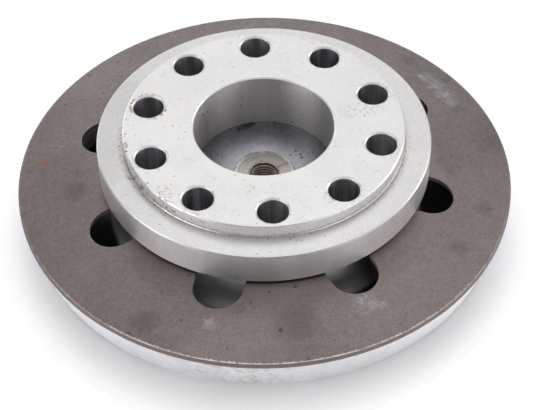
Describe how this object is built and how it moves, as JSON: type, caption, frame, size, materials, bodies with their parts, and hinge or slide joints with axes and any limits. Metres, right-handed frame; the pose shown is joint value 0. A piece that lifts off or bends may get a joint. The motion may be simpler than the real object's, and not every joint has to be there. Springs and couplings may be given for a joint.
{
  "type": "flywheel",
  "caption": "Flywheel with a flanged aluminium hub, a deep central bore and a circle of through bolt holes, a slotted coned steel disc and a shallow aluminium rim dish.",
  "frame": {"origin": "on the rotation axis, in the plane of the ring that the rim stands on", "axes": "+Z along the rotation axis, from the dish towards the boss face; +X through the centre of a bolt hole"},
  "size_m": [0.21, 0.21, 0.0484],
  "materials": {
    "hub_aluminium": "turned, satin, with grime in the corners",
    "bush_steel": "turned, with light rust in the thread",
    "ring_steel": "ground",
    "disc_steel": "dark satin with rust specks and worn edges",
    "dish_aluminium": "turned, satin",
    "screw_steel": "black oxide",
    "washer_steel": "zinc plated",
    "pin_steel": "ground"
  },
  "bodies": {
    "root": {"hub": "hub_aluminium", "centre_bush": "bush_steel", "clamp_ring": "ring_steel", "coned_disc": "disc_steel", "rim_dish": "dish_aluminium", "hub_screws": "screw_steel", "screw_washers": "washer_steel", "dowel_pins": "pin_steel"}
  },
  "joints": []
}
